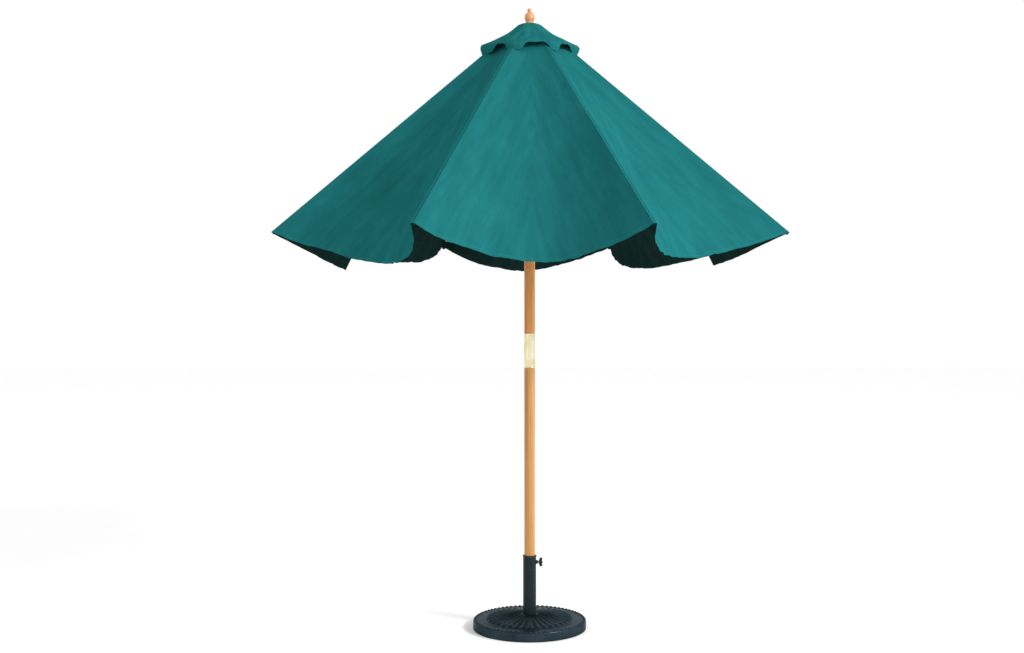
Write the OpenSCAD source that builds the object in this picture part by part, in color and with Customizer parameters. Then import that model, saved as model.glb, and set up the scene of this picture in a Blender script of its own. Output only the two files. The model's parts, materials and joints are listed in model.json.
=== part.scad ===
// Patio umbrella standing in its base: a two-piece wooden pole, eight wooden ribs on struts,
// a slack eight-gore canopy with a vent cap, and a hollow cast disc with an upright tube.
// Millimetres, +Z up. The origin is at the centre of the base's underside.

/* [Base] */
// Diameter of the disc at the ground
base_d = 450; // [400:5:600]
// Height of the disc's outer rim
base_rim_h = 37; // [34:1:50]
// Height of the disc where its crown meets the tube
base_centre_h = 58; // [54:1:90]
// Wall thickness of the hollow casting
base_wall = 8; // [6:1:10]
// Height of the tube's top edge
tube_top_z = 284; // [240:1:400]
// Wall thickness of the tube
tube_wall = 2; // [1.5:0.5:3]
// Wall thickness of the plastic sleeve in the tube
sleeve_wall = 2.4; // [2:0.2:4]
// Height of the clamp screw's axis
clamp_z = 262; // [220:1:270]
// Diameter of the clamp screw
clamp_screw_d = 8; // [6:1:10]
// Span of the clamp knob's two wings
knob_span = 36; // [30:1:50]

/* [Pole] */
// Diameter of the pole
pole_d = 43; // [34:1:52]
// Height of the joint between the two pole pieces
pole_split_z = 1105; // [900:5:1120]
// Length of the brass ferrule
ferrule_len = 137; // [100:1:150]
// Wall thickness of the ferrule
ferrule_wall = 1; // [0.8:0.1:1.5]

/* [Frame] */
// Height of the rib pivots on the crown
crown_pivot_z = 2383; // [2300:1:2500]
// Radius of the pivots from the pole's axis
hub_pivot_r = 45; // [43:1:55]
// Slope of an open rib below the horizontal, in degrees
rib_slope = 40.6; // [38:0.1:45]
// Length of a rib from its pivot
rib_len = 1284; // [1240:1:1320]
// Width of a rib
rib_w = 12; // [10:1:13]
// Height of a rib
rib_h = 22; // [18:1:24]
// Length of a strut between its pivots
strut_len = 570; // [540:1:575]
// Width of a strut
strut_w = 10; // [7:1:10]
// Height of a strut
strut_h = 14; // [12:1:16]
// Diameter of the pivot pins
pivot_pin_d = 4; // [3:0.5:5]

/* [Canopy] */
// Thickness of the canopy's fabric
cloth_t = 1; // [0.6:0.1:1.5]
// Radius of the vent opening under the cap
vent_r = 110; // [90:1:140]
// Drop of a hem's middle below the rib tips
hem_drop = 120; // [40:1:150]
// Inward sag of a hem's middle
hem_inset = 195; // [40:1:210]
// Radius of the cap's lobes
cap_r = 207; // [195:1:230]
// Depth of the cap from its top to its lobes
cap_h = 134; // [128:1:140]
// Height of the finial above the cap
finial_h = 63; // [50:1:90]

/* [Hidden] */
rib_count = 8; // one node per rib, strut and gore
rib_step = 360 / rib_count;
curve = 72; // facets of a full circle in preview
pivot_gap = 0.06; // running clearance round a pivot pin
fit_gap = 0.05; // clearance round a plugged or pressed piece
slide_gap = 0.5; // clearance of the pole in its sleeve
side_gap = 0.6; // clearance beside a rib or strut in its slot
cloth_gap = 0.5; // clearance between a rib and the canopy

// base
tube_bottom_z = 30;
tube_in_r = pole_d / 2 + slide_gap + sleeve_wall + fit_gap;
tube_out_r = tube_in_r + tube_wall;
collar_t = 7; // wall of the collar round the tube
collar_h = 5; // height of the collar over the disc
boss_bottom_z = 14;
plug_t = 20;
bolt_r = 6;
washer_t = 2.5;
bolt_head_h = 7.5;
bolt_head_r = 11;
flange_h = 6;
flange_over = 1.5; // reach of the sleeve's flange past the tube
nut_r = 7.5;
nut_t = 6.5;
knob_gap = 2.5; // between nut and knob
knob_hub_r = 6.5;
knob_t = 16;

// pole
pole_bottom_z = tube_bottom_z + plug_t + fit_gap;
foot_t = 4;
foot_peg_r = 10;
foot_peg_h = 25;
ferrule_bottom_z = pole_split_z - ferrule_len / 2;
ferrule_top_z = pole_split_z + ferrule_len / 2;
ferrule_out_r = pole_d / 2 + 0.6;
ferrule_in_r = ferrule_out_r - ferrule_wall;
stud_r = 4;

// linkage
bracket_drop = rib_h / 2 + strut_h / 2 + 2; // pin below the rib's centre line
pin_u = sqrt(pow(strut_len, 2) - pow(bracket_drop, 2)); // pin's place along the rib
fold_deg = 90 - rib_slope - asin(bracket_drop / strut_len); // rib angle that closes the frame
joint_r = hub_pivot_r + strut_len * sin(fold_deg); // radius of the rib to strut pins
joint_z = crown_pivot_z - strut_len * cos(fold_deg);
runner_pivot_z = crown_pivot_z - 2 * strut_len * cos(fold_deg);
slot_w = rib_w + 2 * side_gap;
slot_r = hub_pivot_r - rib_h / 2 - 1; // inner end of the hubs' slots
hub_r = hub_pivot_r + rib_h / 2;
cheek_t = 1.5;
rivet_r = 1.5;
pin_seat = 4; // reach of a pivot pin into a slot's wall

// crown hub
crown_top_z = crown_pivot_z + 19;
crown_under_z = crown_pivot_z - 17;
crown_neck_z = crown_pivot_z - 45;
neck_r = pole_d / 2 + 9;
crown_bore_z = crown_pivot_z - 5;
crown_screw_z = crown_neck_z + 11;

// runner hub
runner_top_z = runner_pivot_z + 18;
runner_under_z = runner_pivot_z - 14;
runner_bottom_z = runner_pivot_z - 60;
grip_r = pole_d / 2 + 8;
runner_gap = 0.1;
lock_pin_r = 3;
lock_hole_z = runner_bottom_z - lock_pin_r - 2;
eye_r = 5;
eye_wire_r = 1.2;
eye_x = grip_r + 1 + eye_r + eye_wire_r;
eye_z = runner_pivot_z - 42;
ring_r = 4.5;
ring_gap = 0.3; // between the lock pin's ring and the screw eye
ring_z = eye_z - eye_r + 2 * eye_wire_r + ring_gap - ring_r;
lock_pin_len = 62;

// canopy
cloth_v = rib_h / 2 + cloth_gap; // cloth's underside above the rib's centre line
cloth_rise = cloth_t / cos(rib_slope); // cloth's thickness measured upright
tip_over = 3; // cloth past the rib's end
tip_r = hub_pivot_r + rib_len * cos(rib_slope) + (cloth_v + cloth_t) * sin(rib_slope) + tip_over;
gore_rows = 10;
gore_cols = 7; // columns each side of the ridge
gore_seam = 0.4; // half the gap between neighbouring gores
sag_rise = 1.7; // how the sag grows from vent to hem
sag_round = 1.6; // how round a panel hangs between its ribs
flat_half = rib_w / 2 + 1.5; // half width of cloth lying flat on a rib

// cap, as shares of cap_r and depths below its top, from the stud hole to the rim
cap_top_z = crown_top_z + 2;
cap_hole_r = stud_r + 2;
cap_turn = 48; // columns round the cap
cap_lobe = [[0.17, 0.5], [0.25, 7], [0.36, 26], [0.5, 46], [0.65, 62], [0.83, 81], [0.96, 98], [1, cap_h]];
cap_notch = [[0.17, 0.5], [0.23, 9], [0.33, 27], [0.46, 48], [0.6, 64], [0.76, 83], [0.86, 93], [0.9, 102]];

finial_z = cap_top_z + 1.5;
finial_top_z = cap_top_z + finial_h;
finial_foot_r = 18.3;

iron = "#27333b";
enamel = "#1c2426";
zinc = "#9aa0a3";
black_plastic = "#16181a";
wood = "#d8a365";
brass = "#d9c27a";
teal = "#1b8782";

// Places a child in rib k's upright plane, with +X pointing outwards.
module at_rib(k) rotate([0, 0, (k - 0.5) * rib_step]) children();

// Places a child on rib k: +X runs from the pivot to the tip and +Z is square to the rib.
module on_rib(k) at_rib(k)
    translate([hub_pivot_r, 0, crown_pivot_z]) rotate([0, rib_slope, 0]) children();

// Places a child on strut k: +X runs from the runner's pivot to the rib's pin.
module on_strut(k) at_rib(k)
    translate([hub_pivot_r, 0, runner_pivot_z]) rotate([0, fold_deg - 90, 0]) children();

// A round bar along Y, centred on the origin.
module cross_bar(r, length) rotate([90, 0, 0]) cylinder(r = r, h = length, center = true, $fn = curve);

// A round bar along X from one place to another.
module long_bar(r, from, to) translate([from, 0, 0]) rotate([0, 90, 0]) cylinder(r = r, h = to - from, $fn = curve);

// Turns an outline about the Z axis.
module turned(points) rotate_extrude($fn = curve) polygon(points);

module tube(out_r, in_r, from, to) translate([0, 0, from]) difference() {
    cylinder(r = out_r, h = to - from, $fn = curve);
    translate([0, 0, -1]) cylinder(r = in_r, h = to - from + 2, $fn = curve);
}

module base_disc() color(iron) {
    r = base_d / 2;
    bore = tube_out_r + fit_gap;
    collar = bore + collar_t;
    rim = base_rim_h;
    difference() {
        turned([
            [0, boss_bottom_z], [collar + 4, boss_bottom_z], [collar + 6, base_centre_h - base_wall - 4],
            [r * 0.76, rim - base_wall], [r - base_wall - 3, rim - base_wall - 3], [r - base_wall, 0],
            [r, 0], [r, rim * 0.8], [r - 1.5, rim * 0.92], [r - 5, rim], [r * 0.76, rim + 1],
            [collar + 2, base_centre_h], [collar, base_centre_h + collar_h], [0, base_centre_h + collar_h]]);
        translate([0, 0, tube_bottom_z]) cylinder(r = bore, h = base_centre_h, $fn = curve);
        cylinder(r = bolt_r + 0.5, h = tube_bottom_z + 1, $fn = curve);
    }
    web_z = base_rim_h / 4;
    for (k = [1 : rib_count]) at_rib(k)
        translate([collar + 3, -3, web_z]) cube([r - base_wall - collar - 4, 6, rim - base_wall - web_z + 1]);
}

module base_tube() color(enamel) difference() {
    tube(tube_out_r, tube_in_r, tube_bottom_z, tube_top_z);
    translate([0, 0, clamp_z]) long_bar(clamp_screw_d / 2 + 0.5, 0, tube_out_r + 1);
}

module tube_plug() color(zinc) tube(tube_in_r, bolt_r + fit_gap, tube_bottom_z, tube_bottom_z + plug_t);

module base_bolt() color(zinc) {
    head_z = boss_bottom_z - washer_t - bolt_head_h;
    translate([0, 0, head_z]) cylinder(r = bolt_head_r, h = bolt_head_h, $fn = 6);
    translate([0, 0, head_z]) cylinder(r = bolt_r, h = tube_bottom_z + plug_t - 2 - head_z, $fn = curve);
}

module base_washer() color(zinc)
    tube(bolt_head_r + 2, bolt_r + 0.3, boss_bottom_z - washer_t, boss_bottom_z);

module pole_sleeve() color(black_plastic) difference() {
    in_r = pole_d / 2 + slide_gap;
    out_r = in_r + sleeve_wall;
    from = pole_bottom_z + 2;
    lip = tube_out_r + flange_over;
    turned([
        [in_r, from], [out_r, from], [out_r, tube_top_z], [lip, tube_top_z],
        [lip, tube_top_z + flange_h - 2], [lip - 2, tube_top_z + flange_h], [in_r, tube_top_z + flange_h]]);
    translate([0, 0, clamp_z]) long_bar(clamp_screw_d / 2 + 0.5, 0, tube_out_r);
}

module screw_nut() color(zinc) translate([0, 0, clamp_z]) difference() {
    translate([tube_out_r - 2, 0, 0]) rotate([0, 90, 0]) cylinder(r = nut_r, h = nut_t + 2, $fn = 6);
    long_bar(clamp_screw_d / 2 + fit_gap, 0, tube_out_r + nut_t + 1);
    cylinder(r = tube_out_r, h = 4 * nut_r, center = true, $fn = curve);
}

knob_x = tube_out_r + nut_t + knob_gap;

module clamp_screw() color(zinc) translate([0, 0, clamp_z])
    long_bar(clamp_screw_d / 2, pole_d / 2 + fit_gap, knob_x + knob_t - 4);

module clamp_knob() color(black_plastic) translate([0, 0, clamp_z]) difference() {
    ball = 4.4;
    reach = knob_span / 2 - ball;
    union() {
        long_bar(knob_hub_r, knob_x, knob_x + knob_t - 1);
        for (side = [-1, 1]) {
            translate([knob_x + 7, -2.6, side > 0 ? 0 : -reach]) cube([7, 5.2, reach]);
            translate([knob_x + knob_t - ball - 1, 0, side * reach]) sphere(r = ball, $fn = 48);
        }
    }
    long_bar(clamp_screw_d / 2 + fit_gap, 0, knob_x + knob_t - 4);
}

module lower_pole() color(wood) difference() {
    from = pole_bottom_z + foot_t;
    union() {
        translate([0, 0, from]) cylinder(r = pole_d / 2, h = ferrule_bottom_z - from, $fn = curve);
        translate([0, 0, from]) cylinder(r = ferrule_in_r, h = pole_split_z - from, $fn = curve);
    }
    translate([0, 0, from - 1]) cylinder(r = foot_peg_r + fit_gap, h = foot_peg_h + 2, $fn = curve);
    ferrule_screw_places() cross_bar(1.5, 16);
}

module pole_foot() color(black_plastic) {
    translate([0, 0, pole_bottom_z]) cylinder(r = pole_d / 2, h = foot_t, $fn = curve);
    translate([0, 0, pole_bottom_z]) cylinder(r = foot_peg_r, h = foot_t + foot_peg_h, $fn = curve);
}

// The two screws stand at the ferrule's back, with their shanks along Y.
module ferrule_screw_places()
    for (turn = [-35, 35]) rotate([0, 0, turn])
        translate([0, ferrule_out_r - 8, ferrule_bottom_z + 16]) children();

module ferrule() color(brass) difference() {
    tube(ferrule_out_r, ferrule_in_r, ferrule_bottom_z, ferrule_top_z);
    ferrule_screw_places() cross_bar(1.5, 24);
}

module ferrule_screws() color(brass) ferrule_screw_places() {
    cross_bar(1.5, 15.8);
    translate([0, 8.6, 0]) cross_bar(3, 1);
}

module upper_pole() color(wood) difference() {
    union() {
        translate([0, 0, ferrule_top_z]) cylinder(r = pole_d / 2, h = crown_bore_z - ferrule_top_z, $fn = curve);
        translate([0, 0, pole_split_z + fit_gap])
            cylinder(r = ferrule_in_r - fit_gap, h = crown_bore_z - pole_split_z - 1, $fn = curve);
    }
    translate([0, 0, crown_pivot_z - 30]) cylinder(r = stud_r, h = 40, $fn = curve);
    translate([0, 0, lock_hole_z]) long_bar(lock_pin_r + 0.2, -pole_d, pole_d);
    translate([0, 0, crown_screw_z]) cross_bar(2, 2 * pole_d);
}

// Slots for the ribs or struts, cut straight through a hub.
module hub_slots(from, to) for (k = [1 : rib_count]) at_rib(k)
    translate([slot_r, -slot_w / 2, from]) cube([hub_r, slot_w, to - from]);

module pivot_pins(r) for (k = [1 : rib_count]) at_rib(k)
    translate([hub_pivot_r, 0, crown_pivot_z]) cross_bar(r, slot_w + 2 * pin_seat);

module crown() color(wood) difference() {
    turned([
        [0, crown_neck_z], [neck_r - 2, crown_neck_z], [neck_r, crown_neck_z + 2], [neck_r, crown_under_z - 3],
        [hub_r - 3, crown_under_z], [hub_r, crown_under_z + 3], [hub_r, crown_pivot_z - 1],
        [hub_r - 27, crown_top_z], [0, crown_top_z]]);
    translate([0, 0, crown_neck_z - 1]) cylinder(r = pole_d / 2, h = crown_bore_z - crown_neck_z + 1, $fn = curve);
    cylinder(r = stud_r, h = crown_top_z + 1, $fn = curve);
    hub_slots(crown_neck_z, crown_top_z + 1);
    pivot_pins(pivot_pin_d / 2);
    translate([0, 0, crown_screw_z]) cross_bar(2, 2 * hub_r);
}

module crown_pins() color(brass) pivot_pins(pivot_pin_d / 2);

module crown_screw() color(brass) translate([0, 0, crown_screw_z]) {
    cross_bar(2, 2 * neck_r);
    for (side = [-1, 1]) translate([0, side * (neck_r + 0.8), 0]) cross_bar(4, 1.6);
}

module finial_stud() color(zinc) translate([0, 0, crown_pivot_z - 30])
    cylinder(r = stud_r, h = finial_z + 22 - crown_pivot_z + 30, $fn = curve);

module top_washer() color(brass) tube(finial_foot_r - 2, stud_r, cap_top_z, finial_z);

module finial() color(wood) difference() {
    ball_r = 20;
    h = finial_top_z - finial_z;
    ball_z = h * 0.46;
    translate([0, 0, finial_z]) turned(concat(
        [[0, 0], [finial_foot_r, 0], [finial_foot_r, 3.5], [finial_foot_r - 1.5, 5]],
        [for (a = [-48 : 8 : 64]) [ball_r * cos(a), ball_z + ball_r * sin(a)]],
        [[6.6, h * 0.76], [7.4, h * 0.84], [7.2, h * 0.93], [5.5, h * 0.985], [3, h], [0, h]]));
    translate([0, 0, finial_z - 1]) cylinder(r = stud_r, h = 23, $fn = curve);
}

// The cap's outer surface at row i, counted out from its hole, and turn a, as [radius, height].
function cap_point(i, a) =
    let (lobe = (1 + cos(rib_count * (a - rib_step / 2))) / 2,
         p = i == 0 ? [cap_hole_r / cap_r, 0] : cap_lobe[i - 1] * lobe + cap_notch[i - 1] * (1 - lobe))
    [cap_r * p[0], cap_top_z - p[1]];

// The triangles of a closed skin: two sheets of rows by cols points, the second under the first.
function sheet_side(rows, cols, start, flip) = [
    for (i = [0 : rows - 2], j = [0 : cols - 2], half = [0, 1])
        let (a = start + i * cols + j, b = a + 1, c = a + cols, d = c + 1,
             t = half == 0 ? [a, b, d] : [a, d, c])
        flip ? [t[2], t[1], t[0]] : t];
function sheet_wall(edge, down, flip) = [
    for (i = [0 : len(edge) - 2], half = [0, 1])
        let (a = edge[i], b = edge[i + 1], t = half == 0 ? [a, a + down, b] : [b, a + down, b + down])
        flip ? [t[2], t[1], t[0]] : t];

module vent_cap() color(teal) {
    rows = len(cap_lobe) + 1;
    top = [for (i = [0 : rows - 1], j = [0 : cap_turn - 1])
        let (a = j * 360 / cap_turn, p = cap_point(i, a))
        [p[0] * cos(a), p[0] * sin(a), p[1]]];
    n = len(top);
    under = [for (p = top) p - [0, 0, cloth_rise]];
    ring = [for (i = [0 : rows - 2], j = [0 : cap_turn - 1])
        let (a = i * cap_turn + j, b = i * cap_turn + (j + 1) % cap_turn) [a, b, b + cap_turn, a + cap_turn]];
    skin = [for (q = ring, half = [0, 1]) half == 0 ? [q[0], q[1], q[2]] : [q[0], q[2], q[3]]];
    rim = [for (i = [0, rows - 1], j = [0 : cap_turn - 1], half = [0, 1])
        let (a = i * cap_turn + j, b = i * cap_turn + (j + 1) % cap_turn,
             t = half == 0 ? [a, a + n, b] : [b, a + n, b + n])
        i == 0 ? [t[0], t[1], t[2]] : [t[2], t[1], t[0]]];
    polyhedron(concat(top, under), concat(skin, [for (t = skin) [t[2] + n, t[1] + n, t[0] + n]], rim));
}

// The canopy's outer surface in a gore's own plane, at share t from vent to hem and column j.
// It lies flat across the rib, then runs straight to the fold midway to the next rib, less its sag.
function gore_point(t, j) =
    let (r = vent_r + t * (tip_r - vent_r),
         half = rib_step / 2,
         side = abs(j) < 1 ? 0 : (abs(j) - 1) / (gore_cols - 1),
         sag = pow(t, sag_rise) * (1 - pow(1 - side, sag_round)),
         start = [r, j == 0 ? 0 : flat_half],
         fold = (r * cos(half) + flat_half * sin(half)) * [cos(half), sin(half)],
         seam = abs(j) == gore_cols ? gore_seam * [sin(half), -cos(half)] : [0, 0],
         p = start + (fold - start) * side - hem_inset * sag * [cos(half), sin(half)] + seam,
         ridge_z = crown_pivot_z + (cloth_v + cloth_t) / cos(rib_slope)
             - (r - hub_pivot_r) * tan(rib_slope))
    [p[0], sign(j) * p[1], ridge_z - hem_drop * sag];

module canopy_gore(k) color(teal) at_rib(k) {
    cols = 2 * gore_cols + 1;
    rows = gore_rows + 1;
    top = [for (i = [0 : gore_rows], j = [-gore_cols : gore_cols]) gore_point(i / gore_rows, j)];
    n = len(top);
    under = [for (p = top) p - [0, 0, cloth_rise]];
    vent_edge = [for (j = [0 : cols - 1]) j];
    hem_edge = [for (j = [0 : cols - 1]) n - cols + j];
    left_edge = [for (i = [0 : rows - 1]) i * cols];
    right_edge = [for (i = [0 : rows - 1]) i * cols + cols - 1];
    polyhedron(concat(top, under), concat(
        sheet_side(rows, cols, 0, false), sheet_side(rows, cols, n, true),
        sheet_wall(vent_edge, n, false), sheet_wall(hem_edge, n, true),
        sheet_wall(left_edge, n, true), sheet_wall(right_edge, n, false)));
}

module rib(k) color(wood) on_rib(k) difference() {
    half = rib_h / 2;
    taper_u = strut_len + 80;
    union() {
        rotate([90, 0, 0]) linear_extrude(rib_w, center = true)
            polygon([[0, -half], [taper_u, -half], [rib_len - 3, 1], [rib_len, 4], [rib_len, half - 2],
                     [rib_len - 2, half], [0, half]]);
        cross_bar(half, rib_w);
    }
    cross_bar(pivot_pin_d / 2 + pivot_gap, rib_w + 2);
    translate([pin_u, 0, 0]) cross_bar(rivet_r, rib_w + 2);
}

// A brass cheek on each side of the rib, a rivet through the rib and the strut's pivot pin.
module rib_bracket(k) color(brass) on_rib(k) translate([pin_u, 0, 0]) {
    for (side = [-1, 1]) translate([0, side * (rib_w + cheek_t) / 2, 0]) difference() {
        rotate([90, 0, 0]) linear_extrude(cheek_t, center = true) union() {
            circle(r = 8, $fn = curve);
            translate([0, -bracket_drop]) circle(r = 6, $fn = curve);
            polygon([[-8, 0], [8, 0], [6, -bracket_drop], [-6, -bracket_drop]]);
        }
        cross_bar(rivet_r, 3 * cheek_t);
        translate([0, 0, -bracket_drop]) cross_bar(pivot_pin_d / 2, 3 * cheek_t);
    }
    cross_bar(rivet_r, rib_w + 2 * cheek_t + 2);
    translate([0, 0, -bracket_drop]) cross_bar(pivot_pin_d / 2, rib_w + 2 * cheek_t + 2);
}

// A strut with the pin that carries it in the runner.
module strut(k) on_strut(k) {
    color(wood) difference() {
        union() {
            translate([0, -strut_w / 2, -strut_h / 2]) cube([strut_len, strut_w, strut_h]);
            for (u = [0, strut_len]) translate([u, 0, 0]) cross_bar(strut_h / 2, strut_w);
        }
        cross_bar(pivot_pin_d / 2 + fit_gap, strut_w + 2);
        translate([strut_len, 0, 0]) cross_bar(pivot_pin_d / 2 + pivot_gap, strut_w + 2);
    }
    color(brass) cross_bar(pivot_pin_d / 2, slot_w + 2 * pin_seat);
}

module runner() color(wood) difference() {
    turned([
        [pole_d / 2 + runner_gap, runner_bottom_z], [grip_r - 2, runner_bottom_z], [grip_r, runner_bottom_z + 2],
        [grip_r, runner_under_z - 6], [hub_r - 4, runner_under_z], [hub_r, runner_under_z + 4],
        [hub_r, runner_top_z - 4], [hub_r - 4, runner_top_z], [pole_d / 2 + runner_gap, runner_top_z]]);
    hub_slots(runner_under_z - 8, runner_top_z + 1);
    for (k = [1 : rib_count]) at_rib(k)
        translate([hub_pivot_r, 0, runner_pivot_z])
            cube([pivot_pin_d + 0.6, slot_w + 2 * pin_seat + 0.6, 80], center = true);
    translate([0, 0, eye_z]) long_bar(eye_wire_r, pole_d / 2 + 2, hub_r);
}

module screw_eye() color(brass) {
    translate([0, 0, eye_z]) long_bar(eye_wire_r, pole_d / 2 + 2, eye_x - eye_r + 0.5);
    translate([eye_x, 0, eye_z]) rotate([90, 0, 0])
        rotate_extrude($fn = curve) translate([eye_r, 0]) circle(r = eye_wire_r, $fn = 24);
}

module lock_pin() color(brass) translate([eye_x, 0, ring_z]) {
    rotate([0, 90, 0]) tube(ring_r + eye_wire_r, ring_r - eye_wire_r, -eye_wire_r, eye_wire_r);
    translate([0, 0, -ring_r - lock_pin_len]) cylinder(r = lock_pin_r, h = lock_pin_len, $fn = curve);
}

base_disc();
base_tube();
tube_plug();
base_bolt();
base_washer();
pole_sleeve();
screw_nut();
clamp_screw();
clamp_knob();
lower_pole();
pole_foot();
ferrule();
ferrule_screws();
upper_pole();
crown();
crown_pins();
crown_screw();
finial_stud();
top_washer();
finial();
vent_cap();
runner();
screw_eye();
lock_pin();
for (k = [1 : rib_count]) {
    rib(k);
    rib_bracket(k);
    strut(k);
    canopy_gore(k);
}
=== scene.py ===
import json
import math

import bmesh
import bpy
from mathutils import Matrix, Vector, noise


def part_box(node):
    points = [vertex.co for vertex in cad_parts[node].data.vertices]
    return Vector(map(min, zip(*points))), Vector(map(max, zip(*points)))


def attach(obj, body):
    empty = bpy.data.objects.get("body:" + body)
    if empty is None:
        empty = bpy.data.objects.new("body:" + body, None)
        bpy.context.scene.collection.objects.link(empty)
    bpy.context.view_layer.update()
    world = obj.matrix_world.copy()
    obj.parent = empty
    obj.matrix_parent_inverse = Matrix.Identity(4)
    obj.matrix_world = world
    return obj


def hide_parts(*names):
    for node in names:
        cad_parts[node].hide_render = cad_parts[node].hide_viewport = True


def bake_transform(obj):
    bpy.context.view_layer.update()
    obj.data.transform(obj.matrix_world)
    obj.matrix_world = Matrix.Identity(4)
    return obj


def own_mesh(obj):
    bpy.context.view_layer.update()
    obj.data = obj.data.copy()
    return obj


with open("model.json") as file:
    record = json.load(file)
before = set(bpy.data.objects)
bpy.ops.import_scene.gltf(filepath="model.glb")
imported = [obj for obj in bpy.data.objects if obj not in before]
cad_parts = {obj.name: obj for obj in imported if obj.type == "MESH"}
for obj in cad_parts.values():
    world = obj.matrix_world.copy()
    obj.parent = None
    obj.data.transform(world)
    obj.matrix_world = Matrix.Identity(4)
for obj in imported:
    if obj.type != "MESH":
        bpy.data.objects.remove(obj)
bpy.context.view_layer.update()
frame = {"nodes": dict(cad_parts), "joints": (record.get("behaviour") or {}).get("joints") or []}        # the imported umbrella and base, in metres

scene = bpy.context.scene
joints = {joint["name"]: joint for joint in frame["joints"]}
nodes = frame["nodes"]
ribCount = 8


def clearAll():
    if bpy.context.object and bpy.context.object.mode != "OBJECT":
        bpy.ops.object.mode_set(mode="OBJECT")
    bpy.ops.object.select_all(action="DESELECT")


def useOnly(obj):
    clearAll()
    obj.select_set(True)
    bpy.context.view_layer.objects.active = obj
    return obj


def startPiece(name):
    # the primitive just added is selected and active
    obj = bpy.context.object
    obj.name = name
    obj.data.name = name
    return obj


def applyPlace(obj):
    useOnly(obj)
    bpy.ops.object.transform_apply(location=True, rotation=True, scale=True)


def applyModifiers(obj):
    useOnly(obj)
    for modifier in list(obj.modifiers):
        bpy.ops.object.modifier_apply(modifier=modifier.name)


def smoothBy(obj, degrees):
    useOnly(obj)
    bpy.ops.object.shade_smooth_by_angle(angle=math.radians(degrees))


def setMaterial(obj, *materials):
    obj.data.materials.clear()
    for material in materials:
        obj.data.materials.append(material)


def pickFaces(obj, test):
    # in edit mode: selects only the faces whose normal passes the test
    mesh = bmesh.from_edit_mesh(obj.data)
    bpy.ops.mesh.select_mode(type="FACE")
    bpy.ops.mesh.select_all(action="DESELECT")
    for face in mesh.faces:
        if test(face.normal):
            face.select_set(True)
    bmesh.update_edit_mesh(obj.data)


def pickVerts(obj, test):
    mesh = bmesh.from_edit_mesh(obj.data)
    bpy.ops.mesh.select_mode(type="VERT")
    bpy.ops.mesh.select_all(action="DESELECT")
    for vert in mesh.verts:
        if test(vert.co):
            vert.select_set(True)
    mesh.select_flush(True)
    bmesh.update_edit_mesh(obj.data)


def meshPiece(name, points, faces, edges=()):
    mesh = bpy.data.meshes.new(name)
    mesh.from_pydata(points, list(edges), faces)
    mesh.update()
    obj = bpy.data.objects.new(name, mesh)
    scene.collection.objects.link(obj)
    return obj


def turned(name, outline, steps=96):
    # an outline of (radius, height) spun about the pole's axis, closed at its ends on the axis
    edges = [(i, i + 1) for i in range(len(outline) - 1)]
    obj = meshPiece(name, [(r, 0, z) for r, z in outline], [], edges)
    useOnly(obj)
    bpy.ops.object.mode_set(mode="EDIT")
    bpy.ops.mesh.select_all(action="SELECT")
    bpy.ops.mesh.spin(steps=steps, angle=2 * math.pi, center=(0, 0, 0), axis=(0, 0, 1))
    bpy.ops.mesh.select_all(action="SELECT")
    bpy.ops.mesh.remove_doubles(threshold=0.00002)
    bpy.ops.mesh.normals_make_consistent(inside=False)
    bpy.ops.object.mode_set(mode="OBJECT")
    return obj


cameraView = {
    "distance": 5.1,  # from the pole
    "azimuth": -90.85,  # degrees about the pole
    "height": 1.30,
    "lens": 45.0,
    "shiftX": -0.0172,
    "shiftY": -0.0245,
}
cameraData = bpy.data.cameras.new("camera")
cameraData.lens = cameraView["lens"]
cameraData.sensor_width = 36
cameraData.shift_x = cameraView["shiftX"]
cameraData.shift_y = cameraView["shiftY"]
camera = bpy.data.objects.new("camera", cameraData)
around = math.radians(cameraView["azimuth"])
camera.location = (cameraView["distance"] * math.cos(around), cameraView["distance"] * math.sin(around),
                   cameraView["height"])
camera.rotation_euler = (math.radians(90), 0, around + math.radians(90))
scene.collection.objects.link(camera)
scene.camera = camera
print("camera set")


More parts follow.
